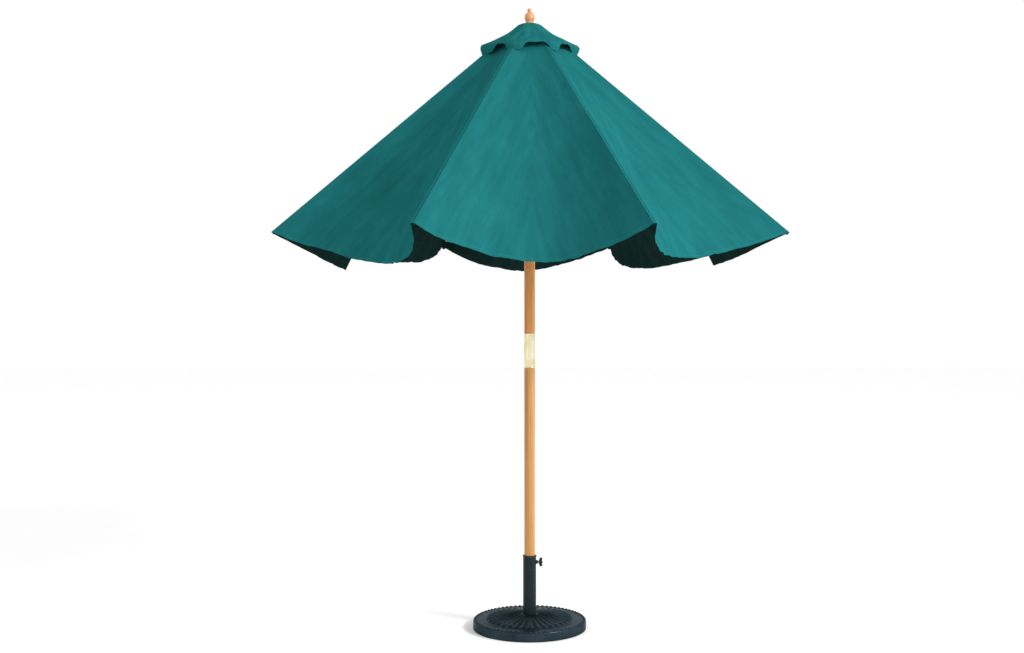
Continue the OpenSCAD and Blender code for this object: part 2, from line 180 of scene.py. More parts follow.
class Nodes:
    # a short way to add shader nodes and join them
    def __init__(self, name):
        self.material = bpy.data.materials.new(name)
        self.material.use_nodes = True
        self.tree = self.material.node_tree
        self.shader = self.tree.nodes["Principled BSDF"]

    def add(self, kind, **values):
        node = self.tree.nodes.new(kind)
        for key, value in values.items():
            if key in node.inputs:
                node.inputs[key].default_value = value
            else:
                setattr(node, key, value)
        return node

    def join(self, a, outName, b, inName):
        self.tree.links.new(a.outputs[outName], b.inputs[inName])

    def set(self, **values):
        for key, value in values.items():
            self.shader.inputs[key.replace("_", " ")].default_value = value

    def places(self, scale=(1, 1, 1), turn=(0, 0, 0), source="Object"):
        coords = self.add("ShaderNodeTexCoord")
        mapping = self.add("ShaderNodeMapping", vector_type="TEXTURE")
        mapping.inputs["Scale"].default_value = [1 / size for size in scale]
        mapping.inputs["Rotation"].default_value = turn
        self.join(coords, source, mapping, "Vector")
        return mapping

    def noise(self, mapping, scale, detail=4, rough=0.55, distort=0.0):
        node = self.add("ShaderNodeTexNoise", Scale=scale, Detail=detail, Roughness=rough,
                        Distortion=distort)
        self.join(mapping, "Vector", node, "Vector")
        return node

    def ramp(self, source, outName, stops):
        node = self.add("ShaderNodeValToRGB")
        while len(node.color_ramp.elements) < len(stops):
            node.color_ramp.elements.new(0.5)
        for element, (place, colour) in zip(node.color_ramp.elements, stops):
            element.position = place
            element.color = (*colour, 1)
        self.join(source, outName, node, "Fac")
        return node

    def mix(self, factor, a, b, blend="MIX"):
        # factor, a and b are (node, output) pairs or plain values
        node = self.add("ShaderNodeMix", data_type="RGBA", blend_type=blend)
        for index, value in ((0, factor), (6, a), (7, b)):
            if isinstance(value, tuple) and isinstance(value[0], bpy.types.Node):
                self.tree.links.new(value[0].outputs[value[1]], node.inputs[index])
            else:
                node.inputs[index].default_value = value if index == 0 else (*value, 1)
        return node

    def math(self, operation, a, b=0.0, c=0.0):
        node = self.add("ShaderNodeMath", operation=operation)
        for index, value in enumerate((a, b, c)):
            if isinstance(value, tuple):
                self.tree.links.new(value[0].outputs[value[1]], node.inputs[index])
            else:
                node.inputs[index].default_value = value
        return node

    def range(self, source, outName, fromMin, fromMax, toMin, toMax):
        node = self.add("ShaderNodeMapRange")
        limits = {"From Min": fromMin, "From Max": fromMax, "To Min": toMin, "To Max": toMax}
        for key, value in limits.items():
            node.inputs[key].default_value = value
        self.join(source, outName, node, "Value")
        return node

    def bump(self, source, outName, strength, distance, under=None):
        node = self.add("ShaderNodeBump", Strength=strength, Distance=distance)
        self.join(source, outName, node, "Height")
        if under:
            self.join(under, "Normal", node, "Normal")
        return node


def wood(name, turn=(0, 0, 0), pale=(0.56, 0.30, 0.105), dark=(0.32, 0.145, 0.045), knots=False):
    # varnished hardwood with its grain along the piece's own Z before the turn
    made = Nodes(name)
    long = made.places(scale=(1, 1, 0.035), turn=turn)
    grain = made.noise(long, 150, detail=6, rough=0.62)
    broad = made.noise(long, 26, detail=3, distort=0.6)
    tone = made.math("MULTIPLY_ADD", (grain, "Fac"), 0.45, 0.0)
    both = made.math("MULTIPLY_ADD", (broad, "Fac"), 0.6, 0.0)
    made.tree.links.new(tone.outputs[0], both.inputs[2])
    colours = made.ramp(both, "Value", [
        (0.34, dark), (0.47, tuple((a + b) / 2 for a, b in zip(dark, pale))), (0.58, pale),
        (0.72, tuple(min(1, c * 1.12) for c in pale))])
    colour = (colours, "Color")
    if knots:
        near = made.places(scale=(1, 1, 0.45), turn=turn)
        cells = made.add("ShaderNodeTexVoronoi", Scale=9.0)
        made.join(near, "Vector", cells, "Vector")
        spot = made.ramp(cells, "Distance", [(0.0, (1, 1, 1)), (0.075, (0.6, 0.6, 0.6)), (0.13, (0, 0, 0))])
        colour = (made.mix((spot, "Color"), colour, (0.16, 0.06, 0.02)), 2)
    made.tree.links.new(colour[0].outputs[colour[1]], made.shader.inputs["Base Color"])
    pores = made.noise(made.places(scale=(1, 1, 0.02), turn=turn), 420, detail=2)
    rough = made.range(pores, "Fac", 0.3, 0.7, 0.3, 0.46)
    made.join(rough, "Result", made.shader, "Roughness")
    ridges = made.bump(grain, "Fac", 0.25, 0.0006)
    pits = made.bump(pores, "Fac", 0.2, 0.0003, under=ridges)
    made.join(pits, "Normal", made.shader, "Normal")
    made.set(Specular_IOR_Level=0.3, Coat_Weight=0.12, Coat_Roughness=0.2)
    return made.material


def brassMetal():
    made = Nodes("polished brass")
    near = made.places(scale=(1, 1, 0.08))
    lines = made.noise(near, 260, detail=3)
    tarnish = made.noise(made.places(), 22, detail=5, rough=0.6)
    colour = made.ramp(tarnish, "Fac", [
        (0.3, (0.66, 0.54, 0.28)), (0.55, (0.83, 0.76, 0.52)), (0.75, (0.89, 0.85, 0.66))])
    made.join(colour, "Color", made.shader, "Base Color")
    rough = made.range(lines, "Fac", 0.3, 0.7, 0.16, 0.3)
    made.join(rough, "Result", made.shader, "Roughness")
    made.join(made.bump(lines, "Fac", 0.12, 0.0002), "Normal", made.shader, "Normal")
    made.set(Metallic=1.0)
    return made.material


def zincMetal():
    made = Nodes("zinc plate")
    near = made.places()
    cloud = made.noise(near, 60, detail=5)
    colour = made.ramp(cloud, "Fac", [(0.35, (0.32, 0.33, 0.34)), (0.65, (0.58, 0.59, 0.6))])
    made.join(colour, "Color", made.shader, "Base Color")
    rough = made.range(cloud, "Fac", 0.3, 0.7, 0.28, 0.45)
    made.join(rough, "Result", made.shader, "Roughness")
    grain = made.noise(near, 500, detail=2)
    made.join(made.bump(grain, "Fac", 0.15, 0.0002), "Normal", made.shader, "Normal")
    made.set(Metallic=1.0)
    return made.material


def castIron():
    # painted casting: sand-cast pits, pale dusty specks and a cloudy satin finish
    made = Nodes("painted cast iron")
    near = made.places()
    cloud = made.noise(near, 9, detail=5, rough=0.6)
    speck = made.noise(near, 170, detail=3, rough=0.7)
    colour = made.ramp(cloud, "Fac", [
        (0.28, (0.015, 0.026, 0.034)), (0.5, (0.023, 0.037, 0.047)), (0.74, (0.036, 0.053, 0.064))])
    dust = made.range(speck, "Fac", 0.56, 0.75, 0.0, 0.35)
    dusty = made.mix((dust, "Result"), (colour, "Color"), (0.085, 0.115, 0.132))
    made.tree.links.new(dusty.outputs[2], made.shader.inputs["Base Color"])
    rough = made.range(speck, "Fac", 0.25, 0.75, 0.22, 0.38)
    made.join(rough, "Result", made.shader, "Roughness")
    grit = made.bump(speck, "Fac", 0.35, 0.0008)
    waves = made.bump(made.noise(near, 32, detail=4), "Fac", 0.25, 0.002, under=grit)
    made.join(waves, "Normal", made.shader, "Normal")
    made.set(Metallic=0.8, Specular_IOR_Level=0.05, Specular_Tint=(0.46, 0.50, 0.52, 1))
    return made.material


def enamelPaint():
    made = Nodes("black enamel")
    near = made.places()
    cloud = made.noise(made.places(scale=(1, 1, 0.25)), 18, detail=4)
    colour = made.ramp(cloud, "Fac", [(0.3, (0.004, 0.011, 0.012)), (0.7, (0.008, 0.019, 0.023))])
    made.join(colour, "Color", made.shader, "Base Color")
    peel = made.noise(near, 240, detail=2)
    rough = made.range(peel, "Fac", 0.3, 0.7, 0.2, 0.3)
    made.join(rough, "Result", made.shader, "Roughness")
    made.join(made.bump(peel, "Fac", 0.16, 0.0004), "Normal", made.shader, "Normal")
    made.set(Specular_IOR_Level=0.16)
    return made.material


def blackPlastic():
    made = Nodes("black plastic")
    near = made.places()
    grain = made.noise(near, 700, detail=2)
    tint = made.ramp(made.noise(near, 30), "Fac", [
        (0.3, (0.008, 0.009, 0.011)), (0.7, (0.016, 0.018, 0.021))])
    made.join(tint, "Color", made.shader, "Base Color")
    rough = made.range(grain, "Fac", 0.3, 0.7, 0.38, 0.5)
    made.join(rough, "Result", made.shader, "Roughness")
    made.join(made.bump(grain, "Fac", 0.2, 0.0002), "Normal", made.shader, "Normal")
    made.set(Specular_IOR_Level=0.35)
    return made.material


def clothMaterial(name, deep, mid, pale, thread, sheen):
    # woven cloth: the UV map is in metres, U away from the rib's seam and V up from the hem
    made = Nodes(name)
    flat = made.places(source="UV")
    warp = made.add("ShaderNodeTexWave", Scale=290.0, bands_direction="X")
    weft = made.add("ShaderNodeTexWave", Scale=290.0, bands_direction="Y")
    for wave in (warp, weft):
        made.join(flat, "Vector", wave, "Vector")
    weave = made.mix(0.5, (warp, "Color"), (weft, "Color"))
    slub = made.noise(made.places(scale=(1, 0.06, 1), source="UV"), 260, detail=3)
    streak = made.noise(made.places(scale=(1, 0.13, 1), source="UV"), 30, detail=4, distort=0.3)
    cloud = made.noise(made.places(), 4.0, detail=3)
    tone = made.math("MULTIPLY", (slub, "Fac"), 0.24)
    tone = made.math("MULTIPLY_ADD", (streak, "Fac"), 0.46, (tone, "Value"))
    tone = made.math("MULTIPLY_ADD", (cloud, "Fac"), 0.30, (tone, "Value"))
    colour = made.ramp(tone, "Value", [(0.36, deep), (0.5, mid), (0.64, pale)])
    threads = made.mix(0.16, (colour, "Color"), (weave, 2), blend="MULTIPLY")
    places = made.add("ShaderNodeSeparateXYZ")
    made.join(flat, "Vector", places, "Vector")
    seam = made.range(places, "X", 0.0012, 0.0024, 0.55, 0.0)
    seamed = made.mix((seam, "Result"), (threads, 2), tuple(0.35 * c for c in deep))
    rows = []  # stitches in a row beside the seam and a row along the hem
    for axis, other, place in (("X", "Y", 0.0048), ("Y", "X", 0.0118)):
        line = made.math("COMPARE", (places, axis), place, 0.0005)
        step = made.math("MODULO", (places, other), 0.0036)
        dash = made.math("LESS_THAN", (step, "Value"), 0.0025)
        rows.append(made.math("MULTIPLY", (line, "Value"), (dash, "Value")))
    stitches = made.math("MAXIMUM", (rows[0], "Value"), (rows[1], "Value"))
    stitched = made.mix((stitches, "Value"), (seamed, 2), thread)
    made.tree.links.new(stitched.outputs[2], made.shader.inputs["Base Color"])
    made.join(made.range(slub, "Fac", 0.3, 0.7, 0.72, 0.9), "Result", made.shader, "Roughness")
    fine = made.bump(weave, 2, 0.25, 0.0003)
    crumple = made.noise(made.places(scale=(1, 0.3, 1), source="UV"), 42, detail=4, distort=0.4)
    soft = made.bump(crumple, "Fac", 0.3, 0.004, under=fine)
    welt = made.bump(made.range(places, "X", 0.0072, 0.0084, 1.0, 0.0), "Result", 0.6, 0.0006, under=soft)
    hem = made.bump(made.range(places, "Y", 0.0134, 0.0146, 1.0, 0.0), "Result", 0.6, 0.0006, under=welt)
    sewn = made.bump(stitches, "Value", 0.5, 0.0004, under=hem)
    made.join(sewn, "Normal", made.shader, "Normal")
    made.set(Sheen_Weight=sheen, Sheen_Roughness=0.4, Sheen_Tint=(0.2, 0.9, 0.9, 1), Specular_IOR_Level=0.0)
    return made.material


poleWood = wood("varnished pole wood", pale=(0.53, 0.272, 0.080), dark=(0.31, 0.135, 0.036), knots=True)
# the pole wood again, made paler and more saturated for the upper pole: painted light offsetting the canopy's
# shade over it
upperWoodPaintedLight = wood("varnished upper pole wood with painted light", pale=(0.76, 0.35, 0.092), dark=(0.44, 0.17, 0.042),
                 knots=True)
brass = brassMetal()
zinc = zincMetal()
iron = castIron()
enamel = enamelPaint()
plastic = blackPlastic()
clothTop = clothMaterial(
    "teal canopy cloth", deep=(0.0085, 0.105, 0.110), mid=(0.0105, 0.126, 0.131), pale=(0.0135, 0.150, 0.154),
    thread=(0.012, 0.22, 0.22), sheen=0.012)
# the teal cloth again, painted nearly black for the underside of the canopy and cap and for the tip pockets:
# painted shade for the canopy's own shadow
clothUnderPaintedShade = clothMaterial(
    "canopy underside painted shade", deep=(0.005, 0.015, 0.014), mid=(0.007, 0.021, 0.019), pale=(0.009, 0.028, 0.025),
    thread=(0.006, 0.045, 0.042), sheen=0.01)
print("materials made")


studio = {
    "floorSize": 40.0,
    "keyPower": 330.0,
    "fillPower": 20.0,
    "skyStrength": 1.0,
}


def areaLight(name, place, aim, size, power):
    data = bpy.data.lights.new(name, "AREA")
    data.shape = "DISK"
    data.size = size
    data.energy = power
    light = bpy.data.objects.new(name, data)
    light.location = place
    light.rotation_euler = (Vector(aim) - Vector(place)).to_track_quat("-Z", "Y").to_euler()
    scene.collection.objects.link(light)


def studioFloor():
    clearAll()
    bpy.ops.mesh.primitive_plane_add(size=studio["floorSize"], location=(0, 0, 0))
    floor = startPiece("floor")
    made = Nodes("pale floor")
    soft = made.noise(made.places(), 3, detail=2)
    colour = made.ramp(soft, "Fac", [(0.3, (0.975, 0.975, 0.975)), (0.7, (0.99, 0.99, 0.99))])
    made.join(colour, "Color", made.shader, "Base Color")
    made.set(Roughness=0.9, Specular_IOR_Level=0.1)
    setMaterial(floor, made.material)
    areaLight("key", (4.6, -3.0, 3.9), (0, 0, 1.7), 1.6, studio["keyPower"])
    areaLight("fill", (-4.5, -4.5, 2.6), (0, 0, 1.3), 3.0, studio["fillPower"])
    world = bpy.data.worlds.new("studio")
    scene.world = world
    world.use_nodes = True
    world.node_tree.nodes["Background"].inputs["Color"].default_value = (1, 1, 1, 1)
    world.node_tree.nodes["Background"].inputs["Strength"].default_value = studio["skyStrength"]
    scene.view_settings.view_transform = "Standard"


studioFloor()
print("floor and lights set")


canopy = {
    "ribSlope": 40.6,  # degrees below the horizontal
    "clothLift": 0.0126,  # from a rib's centre line to the cloth's outer face
    "ventRadius": 0.110,
    "tipRadius": 1.0310,
    "flatHalf": 0.0069,  # half the width of cloth lying flat on a rib
    "halfColumns": 15,  # from a ridge to the fold in mid panel
    "rows": 44,
    "hemBand": 0.014,
    "sagRise": 1.45,
    "thickness": 0.0008,
    "steps": 40,
    # how stiff and how damped the cloth is while it settles
    "cloth": {"quality": 5, "mass": 0.1, "tension_stiffness": 25, "compression_stiffness": 15,
              "shear_stiffness": 4, "bending_stiffness": 0.4, "air_damping": 4},
    "slackAcross": 1.08,  # the UV map across a panel, as cloth over straight distance
    "lengthDown": 1.212,  # the UV map along a rib, from the vent to the hem
    "foldDepth": 0.0085,  # long soft folds down each panel
    "puckerDepth": 0.0038,  # short waves along the stitched hem
    # the panel after rib 1 comes first; low is where its hem hangs lowest, round is how full
    # it hangs towards the rib before it and the rib after it, level how far it runs level from each rib
    "hems": [
        {"drop": 0.105, "inset": 0.195, "low": 0.50, "round": (1.3, 2.3)},
        {"drop": 0.112, "inset": 0.19, "low": 0.57, "round": (1.3, 1.4)},
        {"drop": 0.086, "inset": 0.18, "low": 0.50, "round": (1.2, 1.2)},
        {"drop": 0.134, "inset": 0.237, "low": 0.52, "round": (1.05, 1.05)},
        {"drop": 0.118, "inset": 0.19, "low": 0.51, "round": (1.1, 2.3)},
        {"drop": 0.121, "inset": 0.18, "low": 0.54, "round": (1.2, 1.6), "level": 0.30},
        {"drop": 0.100, "inset": 0.18, "low": 0.50, "round": (2.1, 1.15)},
        {"drop": 0.110, "inset": 0.228, "low": 0.48, "round": (1.05, 1.05)},
    ],
}
pivotR = Vector(joints["rib_1_fold"]["pos_m"][:2]).length
pivotZ = joints["rib_1_fold"]["pos_m"][2]
slope = math.radians(canopy["ribSlope"])
ribStep = 2 * math.pi / ribCount


def unitAt(azimuth):
    return Vector((math.cos(azimuth), math.sin(azimuth), 0))


def ridgeHeight(r):
    return pivotZ + canopy["clothLift"] / math.cos(slope) - (r - pivotR) * math.tan(slope)


def easeIn(x):
    x = min(1, max(0, x))
    return x * x * (3 - 2 * x)


def hemSag(hem, across):
    # 0 at both ribs and 1 where the hem hangs lowest
    before = across < hem["low"]
    u = across / hem["low"] if before else (1 - across) / (1 - hem["low"])
    power = hem["round"][0 if before else 1]
    full = 1 - (1 - u) ** power
    if "level" in hem:
        return full * easeIn(u / hem["level"])
    return full * (0.35 + 0.65 * easeIn(u / 0.22)) if power < 1.5 else full


def acrossPlaces(half):
    # distances from the ridge towards the fold: a flat strip on the rib, then even steps
    flat = canopy["flatHalf"]
    count = canopy["halfColumns"]
    first = [0, flat, flat + min(0.006, (half - flat) / count)]
    return first + [first[-1] + (half - first[-1]) * k / (count - 2) for k in range(1, count - 1)]


def downPlaces():
    band = canopy["hemBand"]
    count = canopy["rows"] - 3
    return [(1 - 2.2 * band) * k / count for k in range(count + 1)] + [1 - band, 1]


def panelPoint(panel, rib, side, column, down):
    # a point on the half panel that hangs from rib towards side, 0 at the ridge
    r = canopy["ventRadius"] + down * (canopy["tipRadius"] - canopy["ventRadius"])
    halfAngle = ribStep / 2
    flat = canopy["flatHalf"]
    azimuth = (rib + 0.5) * ribStep
    radial, tangent = unitAt(azimuth), unitAt(azimuth + math.pi / 2) * side
    middle = unitAt(azimuth + side * halfAngle)
    ridge = radial * r
    fold = middle * (r * math.cos(halfAngle) + flat * math.sin(halfAngle))
    edge = ridge + tangent * flat
    half = (fold - edge).length + flat
    place = acrossPlaces(half)[column]
    point = ridge + tangent * place if place <= flat else edge.lerp(fold, (place - flat) / (half - flat))
    hem = canopy["hems"][panel]
    share = max(0.0, place - flat) / (half - flat) / 2
    across = share if side > 0 else 1 - share
    sag = down ** canopy["sagRise"] * hemSag(hem, across)
    point = point - middle * hem["inset"] * sag
    point.z = ridgeHeight(r) - hem["drop"] * sag
    return point


def panelColumns():
    # every column round the canopy: the panel it is in, the rib it hangs from, its side and its step
    last = canopy["halfColumns"]
    columns = []
    for panel in range(ribCount):
        columns += [(panel, panel, 1, k) for k in range(last + 1)]
        columns += [(panel, (panel + 1) % ribCount, -1, k) for k in range(last - 1, 0, -1)]
    return columns


def longFold(point, down, column):
    # soft folds and sharper creases that fan out from the vent and fade at the ribs
    azimuth = math.atan2(point.y, point.x)
    broad = noise.noise(Vector((azimuth * 9.5, down * 1.1, 3.7)))
    fine = noise.noise(Vector((azimuth * 22, down * 2.0, 9.1)))
    crease = (1 - abs(noise.noise(Vector((azimuth * 14, down * 1.5, 6.2))))) ** 6
    free = easeIn(5 * max(0, column - 1) / canopy["halfColumns"])
    return canopy["foldDepth"] * (broad + 0.4 * fine + 0.55 * crease - 0.2) * free * (0.25 + down) * 1.4


def hangCanopy():
    # the whole canopy as one sheet, hung from its ridges and left to settle under its own weight
    columns, rows = panelColumns(), downPlaces()
    width, last = len(columns), canopy["halfColumns"]
    points, faces, pinned = [], [], []
    for i, down in enumerate(rows):
        for c, (panel, rib, side, column) in enumerate(columns):
            point = panelPoint(panel, rib, side, column, down)
            fold = longFold(point, down, column)
            point += unitAt(math.atan2(point.y, point.x)) * 0.55 * fold
            point.z += 0.83 * fold
            points.append(point)
            if column <= 1 or i == 0:
                pinned.append(len(points) - 1)
    for i in range(len(rows) - 1):
        for c in range(width):
            d = (c + 1) % width
            faces.append((i * width + c, (i + 1) * width + c, (i + 1) * width + d, i * width + d))
    sheet = meshPiece("canopySheet", points, faces)
    layer = sheet.data.uv_layers.new(name="cloth")
    halves = sheet.data.attributes.new("half", "INT", "FACE")
    strips = sheet.data.attributes.new("strip", "INT", "FACE")  # 1 where the cloth lies on a rib
    for face in sheet.data.polygons:
        i, c = divmod(face.index, width)
        panel, rib, side, column = columns[c]
        strips.data[face.index].value = int(min(column, columns[(c + 1) % width][3]) == 0)
        if side > 0 and column == last:
            rib, side = (panel + 1) % ribCount, -1
        halves.data[face.index].value = 2 * rib + (side < 0)
        for loop in face.loop_indices:
            k, place = divmod(sheet.data.loops[loop].vertex_index, width)
            half = points[k * width + place]
            ridge = (rib + 0.5) * ribStep
            axis = unitAt(ridge)
            off = abs(half.x * -axis.y + half.y * axis.x)
            layer.data[loop].uv = (off * canopy["slackAcross"], (1 - rows[k]) * canopy["lengthDown"])
    creases = sheet.data.attributes.new("crease_edge", "FLOAT", "EDGE")
    for edge in sheet.data.edges:
        a, b = (v % width for v in edge.vertices)
        creases.data[edge.index].value = float(a == b and columns[a][3] == 1)
    group = sheet.vertex_groups.new(name="pins")
    group.add(pinned, 1.0, "REPLACE")
    settleCloth(sheet)
    smooth = sheet.modifiers.new("smooth", "SUBSURF")
    smooth.levels = 1
    applyModifiers(sheet)
    puckerHem(sheet)
    return sheet


def settleCloth(sheet):
    cloth = sheet.modifiers.new("cloth", "CLOTH")
    for key, value in canopy["cloth"].items():
        setattr(cloth.settings, key, value)
    cloth.settings.vertex_group_mass = "pins"
    cloth.collision_settings.use_collision = False
    cloth.point_cache.frame_start = 1
    cloth.point_cache.frame_end = canopy["steps"]
    for step in range(1, canopy["steps"] + 1):
        scene.frame_set(step)
    applyModifiers(sheet)
    scene.frame_set(1)


def puckerHem(sheet):
    # short waves along the stitched hem, fading up the panel and towards the ribs
    layer = sheet.data.uv_layers["cloth"].data
    mesh = sheet.data
    heights, offs = [0.0] * len(mesh.vertices), [0.0] * len(mesh.vertices)
    for loop in mesh.loops:
        offs[loop.vertex_index], heights[loop.vertex_index] = layer[loop.index].uv
    normals = [vert.normal.copy() for vert in mesh.vertices]
    for vert, off, height, normal in zip(mesh.vertices, offs, heights, normals):
        azimuth = math.atan2(vert.co.y, vert.co.x)
        near = math.exp(-height / 0.045) * easeIn(off / 0.06)
        wave = noise.noise(Vector((azimuth * 34, height * 3, 5.3)))
        wave += 0.4 * noise.noise(Vector((azimuth * 75, 0, 1.9)))
        vert.co += normal * canopy["puckerDepth"] * 1.6 * wave * near
        vert.co.z += canopy["puckerDepth"] * 0.5 * noise.noise(Vector((azimuth * 52, 2.2, 8.8))) * near
    mesh.update()


sheet = hangCanopy()
print("canopy hung", len(sheet.data.vertices))


def cornerNormals(source, kindOf):
    # the smooth normal at each vertex, apart for the strip on a rib and for the cloth beside it
    found = {}
    for face in source.data.polygons:
        for v in face.vertices:
            key = v, kindOf[face.index]
            found[key] = found.get(key, Vector()) + face.normal * face.area
    return {key: normal.normalized() for key, normal in found.items()}


def clothPiece(name, source, keep, thickness, under, kindOf, corners):
    # the faces of a smooth sheet that keep picks, given a thickness below and closed round the edge
    used = {}
    outer = []
    kinds = []
    uvs = []
    layer = source.data.uv_layers["cloth"].data
    for face in source.data.polygons:
        if keep(face.index):
            outer.append([used.setdefault(v, len(used)) for v in face.vertices])
            kinds.append(kindOf[face.index])
            uvs.append([tuple(layer[loop].uv) for loop in face.loop_indices])
    count = len(used)
    order = sorted(used, key=used.get)
    tops = [source.data.vertices[v].co.copy() for v in order]
    normals = [source.data.vertices[v].normal.copy() for v in order]
    points = tops + [point - normal * thickness for point, normal in zip(tops, normals)]
    edges = {}
    for face, uv in zip(outer, uvs):
        for a, b, place in zip(face, face[1:] + face[:1], uv):
            edges[a, b] = place
    rims = [(a, b) for a, b in edges if (b, a) not in edges]
    faces = outer + [[v + count for v in reversed(face)] for face in outer]
    faces += [[b, a, a + count, b + count] for a, b in rims]
    piece = meshPiece(name, points, faces)
    placed = piece.data.uv_layers.new(name="cloth")
    places = [uv for face in uvs for uv in face] + [uv for face in uvs for uv in reversed(face)]
    places += [edges[a, b] for a, b in rims for _ in range(4)]
    for loop, uv in enumerate(places):
        placed.data[loop].uv = uv
    # the upper faces and the rim take the top cloth; the lower faces take the under material, which for the
    # canopy and the cap is the cloth with painted shade
    piece.data.materials.append(clothTop)
    piece.data.materials.append(under)
    area = 0
    for face in piece.data.polygons:
        face.use_smooth = True
        if face.index >= len(outer):
            face.material_index = 1 if face.index < 2 * len(outer) else 0
        else:
            area += face.area
    given = []
    for face in piece.data.polygons:
        for v in face.vertices:
            if face.index >= 2 * len(outer):
                given.append(face.normal.copy())
            else:
                smooth = corners[order[v % count], kinds[face.index % len(outer)]]
                given.append(smooth if v < count else -smooth)
    piece.data.normals_split_custom_set(given)
    return piece, area


halfOf = [item.value for item in sheet.data.attributes["half"].data]
stripOf = [item.value for item in sheet.data.attributes["strip"].data]
corners = cornerNormals(sheet, stripOf)
for rib in range(ribCount):
    azimuth = (rib + 0.5) * ribStep
    for side in (1, -1):
        name = f"canopy_{rib + 1}_{'left' if side > 0 else 'right'}"
        wanted = 2 * rib + (side < 0)
        # the gore's underside gets the cloth with painted shade
        piece, area = clothPiece(name, sheet, lambda face: halfOf[face] == wanted, canopy["thickness"],
                                 clothUnderPaintedShade, stripOf, corners)
        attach(piece, f"rib_{rib + 1}")
        # the cloth's ridge point at the vent over this rib
        top = unitAt(azimuth) * canopy["ventRadius"] + Vector((0, 0, ridgeHeight(canopy["ventRadius"])))
        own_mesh(piece)
        if side > 0:
            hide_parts(f"canopy_gore_{rib + 1}")
bpy.data.objects.remove(sheet)
print("canopy cut into gores")

pocket = {
    "length": 0.050,  # of rib inside it
    "past": 0.0021,  # beyond the rib's end
    "halfWidth": 0.0074,
    "low": -0.0016,  # heights from the rib's centre line
    "high": 0.0116,
    "round": 0.0024,
    "thickness": 0.0009,
}
ribEnd = 1.284  # along the rib from its pivot


def tipPocket(rib):
    # cloth sewn round the end of a rib, open towards the pole and against the canopy
    inner, outer = ribEnd - pocket["length"], ribEnd + pocket["past"]
    height = pocket["high"] - pocket["low"]
    clearAll()
    middle = ((inner + outer) / 2, 0, (pocket["high"] + pocket["low"]) / 2)
    bpy.ops.mesh.primitive_cube_add(size=1, location=middle)
    piece = startPiece(f"tip_pocket_{rib}")
    piece.scale = (outer - inner, 2 * pocket["halfWidth"], height)
    applyPlace(piece)
    bpy.ops.object.mode_set(mode="EDIT")
    bpy.ops.mesh.select_all(action="SELECT")
    bpy.ops.mesh.bevel(offset=pocket["round"], segments=3)
    pickFaces(piece, lambda normal: normal.z > 0.95 or normal.x < -0.95)
    bpy.ops.mesh.delete(type="FACE")
    pickVerts(piece, lambda place: place.x > outer - 2 * pocket["round"])
    bpy.ops.transform.resize(value=(1, 0.86, 0.9), center_override=(outer, 0, pocket["high"]))
    bpy.ops.mesh.select_all(action="SELECT")
    bpy.ops.mesh.subdivide(number_cuts=2)
    bpy.ops.transform.vertex_random(offset=0.0004, seed=rib)
    bpy.ops.object.mode_set(mode="OBJECT")
    wall = piece.modifiers.new("wall", "SOLIDIFY")
    wall.thickness = pocket["thickness"]
    wall.offset = 1
    applyModifiers(piece)
    layer = piece.data.uv_layers.active
    for loop in piece.data.loops:
        place = piece.data.vertices[loop.vertex_index].co
        layer.data[loop.index].uv = (0.02 + abs(place.y) + pocket["high"] - place.z, place.x - inner)
    turn = Matrix.Rotation((rib - 0.5) * ribStep, 4, "Z") @ Matrix.Translation((pivotR, 0, pivotZ))
    piece.data.transform(turn @ Matrix.Rotation(slope, 4, "Y"))
    smoothBy(piece, 50)
    # the pockets take the underside cloth, painted nearly black as shade
    setMaterial(piece, clothUnderPaintedShade)
    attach(piece, f"rib_{rib}")


for rib in range(1, ribCount + 1):
    tipPocket(rib)
print("tip pockets sewn")


cap = {
    # each outline is radius and depth under the top: through a lobe, between lobes, and front and back
    "outlineLobe": [(0.035, 0.0005), (0.050, 0.008), (0.0735, 0.027), (0.101, 0.047), (0.131, 0.063),
                    (0.166, 0.081), (0.191, 0.0925), (0.202, 0.099), (0.196, 0.117), (0.186, 0.134)],
    "outlineNotch": [(0.035, 0.0005), (0.047, 0.009), (0.067, 0.027), (0.093, 0.048), (0.122, 0.064),
                     (0.155, 0.083), (0.170, 0.089), (0.178, 0.094), (0.182, 0.099), (0.184, 0.104)],
    "outlineRound": [(0.035, 0.0005), (0.050, 0.008), (0.0735, 0.027), (0.101, 0.047), (0.129, 0.063),
                     (0.156, 0.080), (0.174, 0.094), (0.185, 0.107), (0.190, 0.120), (0.191, 0.134)],
    # centre and half width of each lobe of the rim, in degrees round the pole
    "lobes": [(26, 14), (70, 13), (113, 15), (158, 14), (202, 20), (251.5, 12), (300.5, 7.5), (344, 12)],
    "soft": 4.5,
    "holeRadius": 0.006,
    "columns": 192,
    "steps": 4,  # rows between two points of the outline
    "foldDepth": 0.0032,
    "thickness": 0.0009,
    "flat": (0.165, 0.245),  # one petal's width at the rim and its length
    "blendFrom": 0.06,  # distances from the pole
    "blendTo": 0.46,
}
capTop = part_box("vent_cap")[1][2]


def lobeShare(azimuth):
    degrees = math.degrees(azimuth) % 360
    share = 0.0
    for centre, half in cap["lobes"]:
        off = abs((degrees - centre + 180) % 360 - 180)
        hang = easeIn((half + cap["soft"] - off) / (2 * cap["soft"]))
        share = max(share, hang * (1 - 0.14 * (off / half) ** 2))
    return max(0.0, share)


def curveThrough(points, s):
    # a smooth line through the points, s from 0 to 1
    last = len(points) - 1
    i = min(int(s * last), last - 1)
    f = s * last - i
    p = [Vector(points[min(max(i + k, 0), last)]) for k in (-1, 0, 1, 2)]
    a = (p[2] - p[0]) / 2
    b = (p[3] - p[1]) / 2
    return (2 * p[1] - 2 * p[2] + a + b) * f ** 3 + (3 * p[2] - 3 * p[1] - 2 * a - b) * f ** 2 + a * f + p[1]


